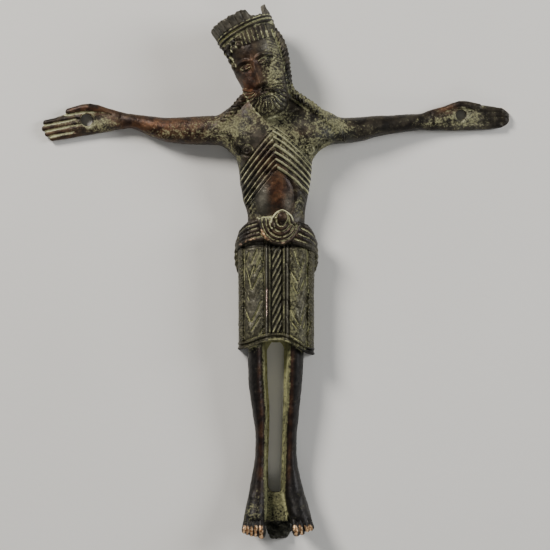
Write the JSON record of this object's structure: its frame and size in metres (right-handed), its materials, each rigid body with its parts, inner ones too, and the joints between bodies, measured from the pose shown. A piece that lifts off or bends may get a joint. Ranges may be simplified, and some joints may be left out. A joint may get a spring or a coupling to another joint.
{
  "type": "crucifix corpus figure",
  "caption": "Cast figure of a crowned, bearded man with outstretched arms and a knee-length loincloth, flat behind, with a nail hole through each palm.",
  "frame": {"origin": "in the flat back plane, under the middle of the figure", "axes": "+X towards the figure's left hand, +Y towards its crown, +Z out of its chest; it lies on its back"},
  "size_m": [0.1594, 0.1814, 0.023],
  "materials": {
    "bronze": "dark brown patina, satin, with pale green deposit in the recesses and worn golden toes"
  },
  "bodies": {
    "root": {"corpus": "bronze"}
  },
  "joints": []
}
